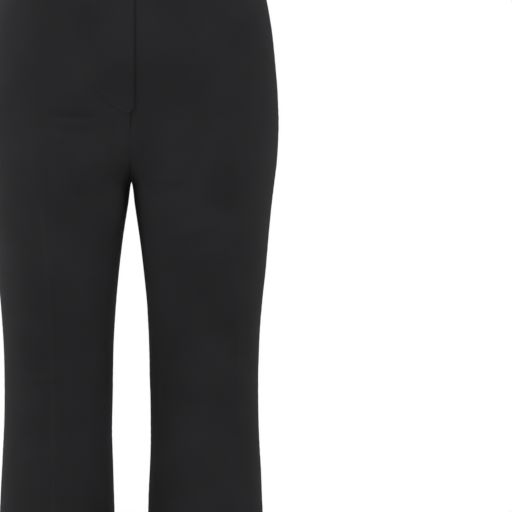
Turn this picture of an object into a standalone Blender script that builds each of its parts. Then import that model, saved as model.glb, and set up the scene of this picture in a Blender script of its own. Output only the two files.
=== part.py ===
"""Casual trousers: plain tailored trousers with a lapped zip fly, pressed creases and a slight flare.

They keep the hollow form that they have when worn. Metres, +Z up, front towards -Y, wearer's left towards +X.
The origin is the centre of the waist, at the waistband's top edge. Each half of the garment is worked out with
x measured outwards from the centre, and the wearer's right half is its mirror image.
"""

import math
from collections import namedtuple

import bmesh
import bpy
import numpy as np
from mathutils import Matrix, Vector

# ---------------------------------------------------------------- driving sizes
WAIST_TOP = 0.0
WAISTBAND_SEAM = -0.0375
FLY_END = -0.190
CROTCH = -0.280
KNEE = -0.550
HEM = -1.070

SEAM_GAP = 0.0003
PANEL_WALL = 0.0015
WAISTBAND_WALL = 0.0028
WAISTBAND_PROUD = 0.0005
WAISTBAND_LIFT = 0.0014
WAISTBAND_SINK = 0.0020
HEM_ALLOWANCE = 0.038
HEM_EXTRA_WALL = 0.0010
HEM_STEP = 0.0010
HEM_DROP_BACK = 0.007
HEM_RISE_FRONT = 0.005

LAP_WIDTH = 0.005
LAP_END_RUN = 0.008
UNDER_EDGE = 0.0013
FLY_WIDTH = 0.042
LAP_LIFT = 0.0012
UNDER_SINK = 0.0008
FLY_FADE = 0.040
UNDERLAP = 0.036
UNDERLAP_REST = 0.002

# The garment's outline and depth, level by level. gap is half the space between the legs, and above the crotch it
# is negative: there the two leg forms run into each other, and they are cut off at the centre seam.
Level = namedtuple("Level", "z width gap front back side_y inseam_y")
LEVELS = (
    Level(0.000, 0.1545, -0.600, 0.1030, 0.1000, 0.006, 0.012),
    Level(-0.0375, 0.1652, -0.500, 0.1060, 0.1070, 0.007, 0.012),
    Level(-0.0838, 0.1742, -0.400, 0.1095, 0.1190, 0.008, 0.012),
    Level(-0.1290, 0.1794, -0.300, 0.1105, 0.1305, 0.010, 0.012),
    Level(-0.1740, 0.1830, -0.200, 0.1080, 0.1385, 0.012, 0.012),
    Level(-0.2090, 0.1841, -0.100, 0.1045, 0.1405, 0.013, 0.013),
    Level(-0.2340, 0.1830, -0.034, 0.1020, 0.1385, 0.014, 0.014),
    Level(-0.2580, 0.1808, -0.0095, 0.0995, 0.1340, 0.014, 0.014),
    Level(-0.2800, 0.1781, 0.0000, 0.0975, 0.1280, 0.014, 0.014),
    Level(-0.3080, 0.1748, 0.0047, 0.0955, 0.1195, 0.012, 0.013),
    Level(-0.3400, 0.1718, 0.0093, 0.0930, 0.1105, 0.010, 0.011),
    Level(-0.3840, 0.1681, 0.0147, 0.0885, 0.0990, 0.007, 0.008),
    Level(-0.4290, 0.1636, 0.0192, 0.0825, 0.0890, 0.004, 0.004),
    Level(-0.4800, 0.1598, 0.0222, 0.0755, 0.0785, 0.001, 0.001),
    Level(-0.5340, 0.1583, 0.0233, 0.0705, 0.0715, 0.000, 0.000),
    Level(-0.5900, 0.1592, 0.0243, 0.0690, 0.0715, 0.001, 0.001),
    Level(-0.6390, 0.1616, 0.0231, 0.0695, 0.0740, 0.002, 0.002),
    Level(-0.6940, 0.1641, 0.0212, 0.0705, 0.0775, 0.003, 0.003),
    Level(-0.8200, 0.1710, 0.0166, 0.0735, 0.0850, 0.006, 0.006),
    Level(-0.9500, 0.1788, 0.0118, 0.0765, 0.0915, 0.008, 0.008),
    Level(-1.0800, 0.1866, 0.0070, 0.0790, 0.0960, 0.009, 0.009),
)

# Where each pressed crease or fold line runs, measured outwards from the centre, and how far it stands out.
Crease = namedtuple("Crease", "z right left back right_height left_height back_height")
CREASES = (
    Crease(0.000, 0.092, 0.100, 0.080, 0.0000, 0.0000, 0.0000),
    Crease(-0.120, 0.101, 0.118, 0.086, 0.0000, 0.0004, 0.0000),
    Crease(-0.200, 0.107, 0.122, 0.089, 0.0005, 0.0008, 0.0000),
    Crease(-0.310, 0.1085, 0.1195, 0.092, 0.0026, 0.0014, 0.0016),
    Crease(-0.388, 0.1018, 0.1210, 0.093, 0.0030, 0.0016, 0.0024),
    Crease(-0.470, 0.0978, 0.1300, 0.091, 0.0024, 0.0018, 0.0024),
    Crease(-0.550, 0.0953, 0.1325, 0.090, 0.0020, 0.0018, 0.0020),
    Crease(-0.694, 0.0946, 0.1330, 0.092, 0.0024, 0.0018, 0.0024),
    Crease(-1.080, 0.0965, 0.1300, 0.097, 0.0026, 0.0018, 0.0026),
)

# How evenly round each stretch of the outline is: 2 is an ellipse, and more is squarer.
TORSO_POWER = 2.35
LEG_POWER = 2.12
CREST_OUT = 0.002
TORSO_FADE_TOP = -0.165
TORSO_FADE_END = -0.272
SEAT_HOLLOW = 0.006

INNER_COLUMNS = 7
OUTER_COLUMNS = 7
FLY_ROWS = 8
CROTCH_ROWS = 7
LEG_ROWS = 26
DENSE = 96

BAND_FRONT_COLUMNS = 14
BAND_BACK_COLUMNS = 11
BAND_ROWS = 2

# What lies behind the fly, as depths below the form's surface.
STACK_TOP = WAISTBAND_SEAM - 0.0010
TAPE_DEPTH = 0.0028
TAPE_THICK = 0.0010
TAPE_LEFT = -0.0145
TAPE_RIGHT = 0.0125
TAPE_END = -0.1860
CHAIN_DEPTH = 0.0017
CHAIN_LEFT = -0.0045
CHAIN_RIGHT = -0.0005
CHAIN_TOP = -0.0530
CHAIN_EDGE = 0.0004
SHIELD_DEPTH = 0.0043
SHIELD_THICK = 0.0010
SHIELD_LEFT = -0.0340
SHIELD_RIGHT = 0.0120
SHIELD_END = -0.1970
SHIELD_CORNER = 0.0200
SHIELD_COLUMNS = 4

SLIDER_X = -0.0025
SLIDER_Z = -0.0480
SLIDER_DEPTH = 0.0009
SLIDER_SIZE = (0.0062, 0.0080, 0.0016)
TAB_SIZE = (0.0042, 0.0200, 0.0006)
TAB_Z = -0.0560
TAB_BITE = 0.0001

BUTTON_X = 0.0080
BUTTON_Z = WAISTBAND_SEAM / 2
BUTTON_STEPS = 24
BUTTON_HOLE = 0.0009
BUTTON_HOLE_SPREAD = 0.0017
BUTTON_HOLE_LENGTH = 0.008
# Half the button's section, as radius and height, from the middle of its face to the middle of its back.
BUTTON_PROFILE = (
    (0.0000, 0.0021),
    (0.0042, 0.0022),
    (0.0051, 0.0029),
    (0.0063, 0.0030),
    (0.0074, 0.0020),
    (0.0074, 0.0009),
    (0.0062, 0.0000),
    (0.0000, 0.0000),
)

FRONT = -1
BACK = 1
RIGHT = -1
LEFT = 1


# ---------------------------------------------------------------- helpers
def read(table, name, z):
    """Read one column of a table at any height, on a smooth curve through its rows."""
    rows = sorted(table, key=lambda row: row.z)
    heights = np.array([row.z for row in rows])
    values = np.array([getattr(row, name) for row in rows])
    slopes = np.gradient(values, heights)
    z = np.clip(np.asarray(z, float), heights[0], heights[-1])
    low = np.clip(np.searchsorted(heights, z) - 1, 0, len(heights) - 2)
    step = heights[low + 1] - heights[low]
    t = (z - heights[low]) / step
    rise = values[low] * (1 + 2 * t) * (1 - t) ** 2 + values[low + 1] * t * t * (3 - 2 * t)
    return rise + step * t * (1 - t) * (slopes[low] * (1 - t) - slopes[low + 1] * t)


def ramp(value, start, end):
    """Rise smoothly from 0 at start to 1 at end."""
    t = np.clip((np.asarray(value, float) - start) / (end - start), 0.0, 1.0)
    return t * t * (3 - 2 * t)


def cloth_material(name, colour, roughness):
    material = bpy.data.materials.new(name)
    material.use_nodes = True
    shader = material.node_tree.nodes["Principled BSDF"]
    shader.inputs["Base Color"].default_value = (*colour, 1.0)
    shader.inputs["Roughness"].default_value = roughness
    material.diffuse_color = (*colour, 1.0)
    return material


def metal_material(name, colour, roughness):
    material = cloth_material(name, colour, roughness)
    material.node_tree.nodes["Principled BSDF"].inputs["Metallic"].default_value = 1.0
    return material


# ---------------------------------------------------------------- the worn form
def form_point(face, turn, z):
    """A point of one half's form. turn runs from -1 at the inseam, by 0 at the leg's crest, to 1 at the side."""
    width = read(LEVELS, "width", z)
    gap = read(LEVELS, "gap", z)
    depth = read(LEVELS, "front" if face == FRONT else "back", z)
    side_y = read(LEVELS, "side_y", z)
    inseam_y = read(LEVELS, "inseam_y", z)
    crest = crest_x(z)
    inner = turn < 0
    angle = np.abs(turn) * math.pi / 2
    reach = np.where(inner, np.sin(angle), np.sin(angle) ** (2 / LEG_POWER))
    fall = np.where(inner, np.cos(angle), np.clip(np.cos(angle), 0, 1) ** (2 / LEG_POWER))
    x = np.where(inner, crest - (crest - gap) * reach, crest + (width - crest) * reach)
    base_y = np.where(inner, inseam_y, side_y)
    leg_y = base_y + (face * depth - base_y) * fall
    torso_depth = depth - (SEAT_HOLLOW if face == BACK else 0.0)
    across = np.clip(np.abs(x) / width, 0, 1)
    torso_y = side_y + (face * torso_depth - side_y) * (1 - across**TORSO_POWER) ** (1 / TORSO_POWER)
    torso = ramp(z, TORSO_FADE_END, TORSO_FADE_TOP)
    return np.stack([x, torso * torso_y + (1 - torso) * leg_y, z + 0 * x], axis=-1)


def crest_x(z):
    """The leg's foremost line, at the middle of the leg below the crotch."""
    width = read(LEVELS, "width", z)
    gap = np.maximum(read(LEVELS, "gap", z), 0.0)
    return (width + gap) / 2 + CREST_OUT


def turn_at_x(x, z):
    """The turn, from -1 to 0, at which the inner stretch of the form reaches x."""
    crest = crest_x(z)
    gap = read(LEVELS, "gap", z)
    return -np.arcsin(np.clip((crest - x) / (crest - gap), -1.0, 1.0)) * 2 / math.pi


def form_normal(face, turn, z):
    """The form's outward direction, from small steps round it and up it."""
    step = 1e-4
    along = form_point(face, np.minimum(turn + step, 1.0), z) - form_point(face, turn - step, z)
    up = form_point(face, turn, z + step) - form_point(face, turn, z - step)
    normal = np.cross(along, up) * -face
    return normal / np.linalg.norm(normal, axis=-1, keepdims=True)


def relief(face, side, x, z):
    """How far the cloth stands out from the form at the fly, in front."""
    if face == BACK:
        return np.zeros_like(x)
    tall = ramp(z, FLY_END - FLY_FADE, FLY_END - LAP_END_RUN)
    near = 1 - ramp(x, FLY_WIDTH / 2, FLY_WIDTH)
    return (LAP_LIFT if side == RIGHT else -UNDER_SINK) * tall * near


def centre_start(face, side, z):
    """Where a panel's centre edge lies: on the centre line, but past it or short of it along the fly."""
    if face == BACK:
        return np.zeros_like(z)
    reach = ramp(z, FLY_END - LAP_END_RUN, FLY_END)
    return reach * (-LAP_WIDTH if side == RIGHT else UNDER_EDGE)


# ---------------------------------------------------------------- leg panels
def row_heights(face, side):
    """Each row's height at its centre end and at its side end."""
    top = WAISTBAND_SEAM - SEAM_GAP
    dense = np.linspace(top, CROTCH, 4 * DENSE)
    start = centre_start(face, side, dense)
    line = form_point(face, turn_at_x(start, dense), dense)
    length = np.concatenate([[0], np.cumsum(np.linalg.norm(np.diff(line, axis=0), axis=1))])
    if face == FRONT:
        fly = np.linspace(top, FLY_END, FLY_ROWS + 1)
        below = np.interp(LAP_END_RUN - FLY_END, -dense, length)
        curve = np.interp(np.linspace(below, length[-1], CROTCH_ROWS), length, dense)
        centre = np.concatenate([fly, curve])
    else:
        centre = np.interp(np.linspace(0, length[-1], FLY_ROWS + CROTCH_ROWS + 1), length, dense)
    outer = np.linspace(top, CROTCH, len(centre))
    legs = np.linspace(CROTCH, HEM + HEM_ALLOWANCE, LEG_ROWS)[1:]
    hem = np.array([HEM + HEM_ALLOWANCE - HEM_STEP, HEM + HEM_ALLOWANCE / 2, HEM])
    return np.concatenate([centre, legs, hem]), np.concatenate([outer, legs, hem])


def panel_row(face, side, centre_z, side_z):
    """The points and outward directions of one row of a panel, from its centre end to its side seam."""
    count = INNER_COLUMNS + OUTER_COLUMNS + 1
    z = centre_z + (side_z - centre_z) * ramp(np.linspace(0, 1, count), 0, 1)
    hem_shift = HEM_RISE_FRONT if face == FRONT else -HEM_DROP_BACK
    level = np.sin(np.linspace(0, math.pi, count)) * ramp(z, KNEE, HEM)
    z = z + hem_shift * level
    name = {FRONT: "right" if side == RIGHT else "left", BACK: "back"}[face]
    fold_x = read(CREASES, name, z)
    start = centre_start(face, side, z)
    first = turn_at_x(start, z)[:, None]
    path_turn = first + (1 - first) * np.linspace(0, 1, DENSE)
    path = form_point(face, path_turn, z[:, None])
    steps = np.linalg.norm(np.diff(path, axis=1), axis=2)
    turns = np.empty(count)
    for column in range(count):
        length = np.concatenate([[0], np.cumsum(steps[column])])
        begin = SEAM_GAP / 2 if z[column] < CROTCH + SEAM_GAP else 0.0
        end = length[-1] - SEAM_GAP / 2
        fold = np.interp(fold_x[column], path[column, :, 0], length)
        inner = np.linspace(begin, fold, INNER_COLUMNS + 1)
        places = np.concatenate([inner, np.linspace(fold, end, OUTER_COLUMNS + 1)[1:]])
        turns[column] = np.interp(places[column], length, path_turn[column])
    point = form_point(face, turns, z)
    normal = form_normal(face, turns, z)
    lift = relief(face, side, np.abs(point[:, 0]), z)
    lift[INNER_COLUMNS] += read(CREASES, name + "_height", z[INNER_COLUMNS])
    return point + normal * lift[:, None], normal


def panel_grids(face, side):
    centre, outer = row_heights(face, side)
    points, normals = zip(*[panel_row(face, side, c, s) for c, s in zip(centre, outer)])
    points, normals = np.array(points), np.array(normals)
    hem_row = centre < HEM + HEM_ALLOWANCE - HEM_STEP / 2
    wall = PANEL_WALL + HEM_EXTRA_WALL * hem_row[:, None, None]
    return shift_half(points), shift_half(points - normals * wall)


def shift_half(points):
    """Move a half outwards by half a seam, so that it stays clear of the other half."""
    moved = points.copy()
    moved[..., 0] += SEAM_GAP / 2
    return moved


def mirror_to(side, points):
    placed = points.copy()
    placed[..., 0] *= side
    return placed


# ---------------------------------------------------------------- solids
def add_mesh(name, mesh_data, material, collection):
    """Make an object of a bmesh, with every face pointing out."""
    bmesh.ops.recalc_face_normals(mesh_data, faces=mesh_data.faces)
    mesh = bpy.data.meshes.new(name)
    mesh_data.to_mesh(mesh)
    mesh_data.free()
    mesh.materials.append(material)
    thing = bpy.data.objects.new(name, mesh)
    collection.objects.link(thing)
    mesh.shade_smooth()
    mesh.set_sharp_from_angle(angle=math.radians(35))
    return thing


def wall_solid(name, outer, inner, material, collection):
    """Close two grids of points, the outside and the inside of a wall of cloth, into one solid."""
    rows, columns = outer.shape[:2]
    build = bmesh.new()
    skins = []
    for grid in (outer, inner):
        skins.append([[build.verts.new(point) for point in row] for row in grid])
    for skin, flip in zip(skins, (False, True)):
        for r in range(rows - 1):
            for c in range(columns - 1):
                corners = [skin[r][c], skin[r + 1][c], skin[r + 1][c + 1], skin[r][c + 1]]
                build.faces.new(corners[::-1] if flip else corners)
    edge = [(0, c) for c in range(columns)]
    edge += [(r, columns - 1) for r in range(1, rows)]
    edge += [(rows - 1, c) for c in range(columns - 2, -1, -1)]
    edge += [(r, 0) for r in range(rows - 2, 0, -1)]
    for (r0, c0), (r1, c1) in zip(edge, edge[1:] + edge[:1]):
        build.faces.new([skins[0][r0][c0], skins[0][r1][c1], skins[1][r1][c1], skins[1][r0][c0]])
    return add_mesh(name, build, material, collection)


def swept_solid(name, rings, material, collection):
    """Close a stack of like rings of points into one solid."""
    build = bmesh.new()
    loops = [[build.verts.new(point) for point in ring] for ring in rings]
    count = len(loops[0])
    for upper, lower in zip(loops, loops[1:]):
        for i in range(count):
            j = (i + 1) % count
            build.faces.new([upper[i], upper[j], lower[j], lower[i]])
    build.faces.new(loops[0][::-1])
    build.faces.new(loops[-1])
    return add_mesh(name, build, material, collection)


def leg_panel(name, face, side, material, collection):
    outer, inner = panel_grids(face, side)
    return wall_solid(name, mirror_to(side, outer), mirror_to(side, inner), material, collection)


def band_path(face, start, z, columns):
    """Turns evenly spaced along the form at one height, from start to the side."""
    turn = np.linspace(turn_at_x(start, z), 1.0, DENSE)
    path = form_point(face, turn, np.full(DENSE, z))
    length = np.concatenate([[0], np.cumsum(np.linalg.norm(np.diff(path, axis=0), axis=1))])
    return np.interp(np.linspace(0, length[-1], columns + 1), length, turn)


def band_offset(side, x):
    """How far the waistband stands out: the right end laps over the left one, which sinks under it."""
    if side == RIGHT:
        return WAISTBAND_PROUD + WAISTBAND_LIFT * (1 - ramp(x, UNDERLAP + UNDERLAP_REST, 2 * UNDERLAP))
    return WAISTBAND_PROUD - WAISTBAND_SINK * (1 - ramp(x, 2 * LAP_WIDTH, UNDERLAP + LAP_WIDTH))


def waistband_half(name, side, material, collection):
    """Half the waistband, from its end at centre front round the side to centre back."""
    start = -LAP_WIDTH if side == RIGHT else -UNDERLAP
    outer, inner = [], []
    for z in np.linspace(WAIST_TOP, WAISTBAND_SEAM, BAND_ROWS + 1):
        points, normals = [], []
        for face, begin, columns in ((FRONT, start, BAND_FRONT_COLUMNS), (BACK, 0.0, BAND_BACK_COLUMNS)):
            turn = band_path(face, begin, z, columns)
            heights = np.full(len(turn), z)
            point = form_point(face, turn, heights)
            normal = form_normal(face, turn, heights)
            if face == FRONT:
                point += normal * band_offset(side, point[:, 0])[:, None]
            else:
                point, normal = point[-2::-1], normal[-2::-1]
                point += normal * WAISTBAND_PROUD
            points.append(point)
            normals.append(normal)
        points, normals = np.concatenate(points), np.concatenate(normals)
        outer.append(points)
        inner.append(points - normals * WAISTBAND_WALL)
    outer, inner = shift_half(np.array(outer)), shift_half(np.array(inner))
    return wall_solid(name, mirror_to(side, outer), mirror_to(side, inner), material, collection)


def behind_front(x, z, depth):
    """A point at x, on either side of the centre, at a depth below the front's form."""
    turn = turn_at_x(np.abs(x), z)
    point = form_point(FRONT, turn, z) - form_normal(FRONT, turn, z) * np.asarray(depth)[..., None]
    point[..., 0] = np.where(x < 0, -point[..., 0], point[..., 0])
    return point


def fly_shield(material, collection):
    """The guard behind the zip, with its lower corner cut away in a curve."""
    heights = np.linspace(STACK_TOP, SHIELD_END, FLY_ROWS + 3)
    edge = SHIELD_LEFT + SHIELD_CORNER * ramp(heights, SHIELD_END + 2 * SHIELD_CORNER, SHIELD_END)
    across = np.linspace(0, 1, SHIELD_COLUMNS + 1)
    x = edge[:, None] + (SHIELD_RIGHT - edge[:, None]) * across
    z = heights[:, None] + 0 * x
    outer = behind_front(x, z, np.full(x.shape, SHIELD_DEPTH))
    inner = behind_front(x, z, np.full(x.shape, SHIELD_DEPTH + SHIELD_THICK))
    return wall_solid("fly_shield", outer, inner, material, collection)


def zip_tape(material, collection):
    """The closed zip: its tape, with the chain as a raised rib that stops under the slider."""
    back = TAPE_DEPTH + TAPE_THICK
    rib_x = (CHAIN_LEFT, CHAIN_LEFT + CHAIN_EDGE, CHAIN_RIGHT - CHAIN_EDGE, CHAIN_RIGHT)
    rib_top = CHAIN_TOP - CHAIN_EDGE
    heights = [STACK_TOP, CHAIN_TOP, *np.linspace(rib_top, TAPE_END, FLY_ROWS)]
    rings = []
    for z in heights:
        rib = CHAIN_DEPTH if z < CHAIN_TOP else TAPE_DEPTH - CHAIN_EDGE / 2
        x = np.array([TAPE_LEFT, *rib_x, TAPE_RIGHT, TAPE_RIGHT, CHAIN_LEFT, TAPE_LEFT])
        depth = np.array([TAPE_DEPTH, TAPE_DEPTH, rib, rib, TAPE_DEPTH, TAPE_DEPTH, back, back, back])
        rings.append(behind_front(x, np.full(x.shape, z), depth))
    return swept_solid("zip_tape", rings, material, collection)


def front_frame(x, z, depth):
    """A frame on the front: X across, Y up the cloth and Z out of it."""
    turn = turn_at_x(abs(x), z)
    outward = Vector(form_normal(FRONT, turn, z))
    outward.x *= math.copysign(1.0, x)
    across = Vector((1.0, 0.0, 0.0))
    up = outward.cross(across).normalized()
    across = up.cross(outward).normalized()
    place = Matrix((across, up, outward)).transposed().to_4x4()
    place.translation = Vector(behind_front(np.array([x]), np.array([z]), np.array([depth]))[0])
    return place


def block(name, size, place, collection):
    """A box of a given size, set in a frame by its middle."""
    build = bmesh.new()
    bmesh.ops.create_cube(build, size=1.0, matrix=Matrix.Diagonal((*size, 1.0)))
    mesh = bpy.data.meshes.new(name)
    build.to_mesh(mesh)
    build.free()
    thing = bpy.data.objects.new(name, mesh)
    thing.matrix_world = place
    collection.objects.link(thing)
    return thing


def hide_tool(thing):
    thing.hide_render = True
    thing.display_type = "WIRE"


def add_boolean(thing, tool, operation):
    cut = thing.modifiers.new(tool.name, "BOOLEAN")
    cut.operation = operation
    cut.solver = "EXACT"
    cut.object = tool


def zip_slider(material, collection, tools):
    """The slider and its tab, which lies locked down over the chain behind the lap."""
    body_place = front_frame(SLIDER_X, SLIDER_Z, SLIDER_DEPTH + SLIDER_SIZE[2] / 2)
    slider = block("zip_slider", SLIDER_SIZE, body_place, collection)
    slider.data.materials.append(material)
    tab_depth = SLIDER_DEPTH - TAB_BITE + TAB_SIZE[2] / 2
    tab = block("tab_form", TAB_SIZE, front_frame(SLIDER_X, TAB_Z, tab_depth), tools)
    hide_tool(tab)
    add_boolean(slider, tab, "UNION")
    return slider


def waist_button(material, collection, tools):
    """A turned button with four holes, on the outside of the waistband's right end."""
    offset = band_offset(RIGHT, BUTTON_X) + SEAM_GAP
    place = front_frame(-BUTTON_X, BUTTON_Z, -offset)
    mesh = bpy.data.meshes.new("button")
    edges = [(i, i + 1) for i in range(len(BUTTON_PROFILE) - 1)]
    mesh.from_pydata([(r, 0.0, h) for r, h in BUTTON_PROFILE], edges, [])
    mesh.materials.append(material)
    button = bpy.data.objects.new("button", mesh)
    button.matrix_world = place
    collection.objects.link(button)
    turned = button.modifiers.new("turned", "SCREW")
    turned.steps = BUTTON_STEPS
    turned.render_steps = BUTTON_STEPS
    turned.use_merge_vertices = True
    turned.merge_threshold = 1e-5
    weld = button.modifiers.new("weld", "WELD")
    weld.merge_threshold = 1e-5
    for index in range(4):
        angle = math.pi / 4 + index * math.pi / 2
        middle = Vector((math.cos(angle), math.sin(angle), 0.0)) * BUTTON_HOLE_SPREAD
        build = bmesh.new()
        ends = {"radius1": BUTTON_HOLE, "radius2": BUTTON_HOLE, "depth": BUTTON_HOLE_LENGTH}
        bmesh.ops.create_cone(build, cap_ends=True, segments=8, **ends)
        tool_mesh = bpy.data.meshes.new("hole")
        build.to_mesh(tool_mesh)
        build.free()
        tool = bpy.data.objects.new(f"hole_{index}", tool_mesh)
        tool.matrix_world = place @ Matrix.Translation(middle)
        tools.objects.link(tool)
        hide_tool(tool)
        add_boolean(button, tool, "DIFFERENCE")
    return button


# ---------------------------------------------------------------- scene assembly
def main():
    for thing in list(bpy.data.objects):
        bpy.data.objects.remove(thing, do_unlink=True)
    trousers = bpy.data.collections.new("casual_trousers")
    tools = bpy.data.collections.new("cutters")
    bpy.context.scene.collection.children.link(trousers)
    bpy.context.scene.collection.children.link(tools)
    cloth = cloth_material("suiting_cloth", (0.020, 0.020, 0.022), 0.85)
    tape = cloth_material("zip_tape", (0.015, 0.015, 0.017), 0.70)
    horn = cloth_material("dark_button", (0.018, 0.017, 0.018), 0.35)
    metal = metal_material("slider_metal", (0.20, 0.20, 0.21), 0.35)
    leg_panel("front_right", FRONT, RIGHT, cloth, trousers)
    leg_panel("front_left", FRONT, LEFT, cloth, trousers)
    leg_panel("back_right", BACK, RIGHT, cloth, trousers)
    leg_panel("back_left", BACK, LEFT, cloth, trousers)
    waistband_half("waistband_right", RIGHT, cloth, trousers)
    waistband_half("waistband_left", LEFT, cloth, trousers)
    fly_shield(cloth, trousers)
    zip_tape(tape, trousers)
    zip_slider(metal, trousers, tools)
    waist_button(horn, trousers, tools)


main()
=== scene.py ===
"""Looks of the casual trousers: cloth shells, seams, creases, folds, stitching, button, zip, light and camera."""

import math
from collections import namedtuple

import bmesh
import bpy
import numpy as np
from mathutils import Matrix, Vector


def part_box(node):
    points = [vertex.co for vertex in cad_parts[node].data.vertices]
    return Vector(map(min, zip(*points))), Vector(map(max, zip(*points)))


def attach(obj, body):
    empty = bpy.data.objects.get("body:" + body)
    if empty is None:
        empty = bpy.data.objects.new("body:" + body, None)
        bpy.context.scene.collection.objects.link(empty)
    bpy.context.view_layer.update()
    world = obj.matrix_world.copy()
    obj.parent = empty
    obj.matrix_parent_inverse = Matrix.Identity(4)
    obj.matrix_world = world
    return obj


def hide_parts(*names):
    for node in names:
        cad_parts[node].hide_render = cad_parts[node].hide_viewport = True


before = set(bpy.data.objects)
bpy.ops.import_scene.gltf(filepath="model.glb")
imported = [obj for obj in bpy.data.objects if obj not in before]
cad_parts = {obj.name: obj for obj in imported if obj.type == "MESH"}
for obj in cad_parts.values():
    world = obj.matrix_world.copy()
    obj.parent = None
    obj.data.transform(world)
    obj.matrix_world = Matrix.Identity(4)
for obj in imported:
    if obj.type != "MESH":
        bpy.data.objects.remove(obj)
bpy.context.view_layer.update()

FRONT = -1
BACK = 1
RIGHT = -1
LEFT = 1
FACES = {"front": FRONT, "back": BACK}
SIDES = {"right": RIGHT, "left": LEFT}

# ---------- driving sizes, in metres
# They are the solids' own, but for the cloth's thickness, the overlap at seams, how far the lap and the front under
# it stand apart, and the slider's size and depth.
MM = 0.001
BAND_LOW, BAND_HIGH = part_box("waistband_left")
WAIST_TOP = BAND_HIGH[2]
WAISTBAND_SEAM = BAND_LOW[2]
FLY_END = -0.190
CROTCH = -0.280
KNEE = -0.550
HEM = -1.070
HEM_ALLOWANCE = 0.038
HEM_DROP_BACK = 0.007
HEM_RISE_FRONT = 0.005

# The shells overlap by SEAM_LAP, so that no light shows through a seam. Within SEAM_KEEP of the centre seam the
# relief leaves x alone, so that both halves still meet there.
SEAM_LAP = 0.00006
SEAM_KEEP = 0.012

# The cloth is thicker over its turnings, at the hem and where the lap's edge is folded.
CLOTH = 0.0009
TURNING_CLOTH = 0.45 * MM
HEM_CLOTH = 0.9 * MM
FOLDED_CLOTH = 0.6 * MM
TURNING = (10 * MM, 11.5 * MM)
LAP_FOLD = (4.6 * MM, 5.8 * MM)
FLY_CLOTH = (0.040, 0.055)

BAND_CLOTH = 0.0024
BAND_THIN_TOP = 0.9 * MM
BAND_THICK_FOOT = 0.6 * MM
BAND_ROLL = 0.55 * MM
BAND_TOP_REACH = 1.1 * MM
BAND_FOOT_REACH = 1.3 * MM
BAND_WAVE = 0.10 * MM
BAND_WAVE_RUN = 0.031
BAND_RIPPLE = 0.08 * MM
BAND_RIPPLE_RUN = 0.012
BAND_PROUD = 0.0005
BAND_LIFT = 0.0014
BAND_SINK = 0.0020

LAP_WIDTH = 0.005
LAP_END_RUN = 0.008
UNDER_EDGE = 0.0013
FLY_WIDTH = 0.042
LAP_LIFT = 0.0007
UNDER_SINK = 0.0006
FLY_FADE = 0.040
UNDERLAP = 0.036

# What lies behind the fly, as depths below the form's surface.
STACK_TOP = WAISTBAND_SEAM - 0.0010
TAPE_DEPTH = 0.0028
TAPE_THICK = 0.0010
TAPE_LEFT = -0.0145
TAPE_RIGHT = 0.0125
TAPE_END = -0.1860
TAPE_CORD = 0.25 * MM
TAPE_CORD_OFF = 2.6 * MM
TAPE_CORD_WIDTH = 0.5 * MM
SELVEDGE_WIDTH = 0.7 * MM
CHAIN_X = -0.0025
CHAIN_TOP = -0.0530
CHAIN_DEPTH = 0.0022
CHAIN_STOP = 0.0020
COIL_PITCH = 0.0013
COIL_OFF = 0.70 * MM
COIL_REACH = 0.75 * MM
COIL_RISE = 0.45 * MM
COIL_THREAD = 0.30 * MM
SHIELD_DEPTH = 0.0043
SHIELD_THICK = 0.0010
SHIELD_LEFT = -0.0340
SHIELD_RIGHT = 0.0120
SHIELD_END = -0.1970
SHIELD_CORNER = 0.0200
SLIDER_Z = -0.0480
SLIDER_DEPTH = 0.0020
SLIDER_SIZE = (0.0058, 0.0080, 0.0014)
SLIDER_PLATE = 0.0005
TAB_SIZE = (0.0042, 0.0200, 0.0006)
TAB_Z = -0.0560
BRIDGE_RISE = 0.40 * MM
BRIDGE_THREAD = 0.34 * MM

BUTTON_X = 0.0080
BUTTON_Z = (WAIST_TOP + WAISTBAND_SEAM) / 2
BUTTON_LIFT = 0.3 * MM
BUTTON_STEPS = 64
EYE_RADIUS = 0.0009
EYE_SPREAD = 0.0017
EYE_THREADS = (-0.35 * MM, 0.0, 0.35 * MM)
EYE_THREAD = 0.19 * MM
EYE_DEPTH = 1.1 * MM
EYE_RISE = 1.35 * MM

# The button's half section: radius and height, in millimetres, from its face's middle round the rim to its back.
BUTTON_PROFILE = (
    (0.00, 2.05), (3.30, 2.05), (4.30, 2.25), (4.90, 2.72), (5.45, 2.98), (6.20, 3.00), (6.90, 2.65),
    (7.32, 1.95), (7.38, 1.20), (7.00, 0.60), (6.10, 0.10), (5.00, 0.00), (0.00, 0.00),
)

# The worked buttonhole round it: bars of thread beside a slit, and two bar tacks past each end.
HOLE_SHIFT = 2 * MM
HOLE_LIFT = 0.05 * MM
HOLE_HALF = 9.0 * MM
HOLE_REACH = 1.7 * MM
HOLE_SLIT = 0.25 * MM
HOLE_PITCH = 0.42 * MM
HOLE_RISE = 0.16 * MM
HOLE_THREAD = 0.20 * MM
HOLE_TACKS = (0.1 * MM, 0.5 * MM)
TACK_THREAD = 0.22 * MM

# ---------- picture
PHOTO_SIDE = 512
METRES_PER_PIXEL = 0.00125
PHOTO_CENTRE_X = 131.4
PHOTO_CROTCH_Y = 181.0
CAMERA_DISTANCE = 9.0
SENSOR = 36.0
FLOOR_BELOW_HEM = 0.02
FLOOR_RADIUS = 3.0
FLOOR_WHITE = (0.86, 0.86, 0.86)

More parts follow.
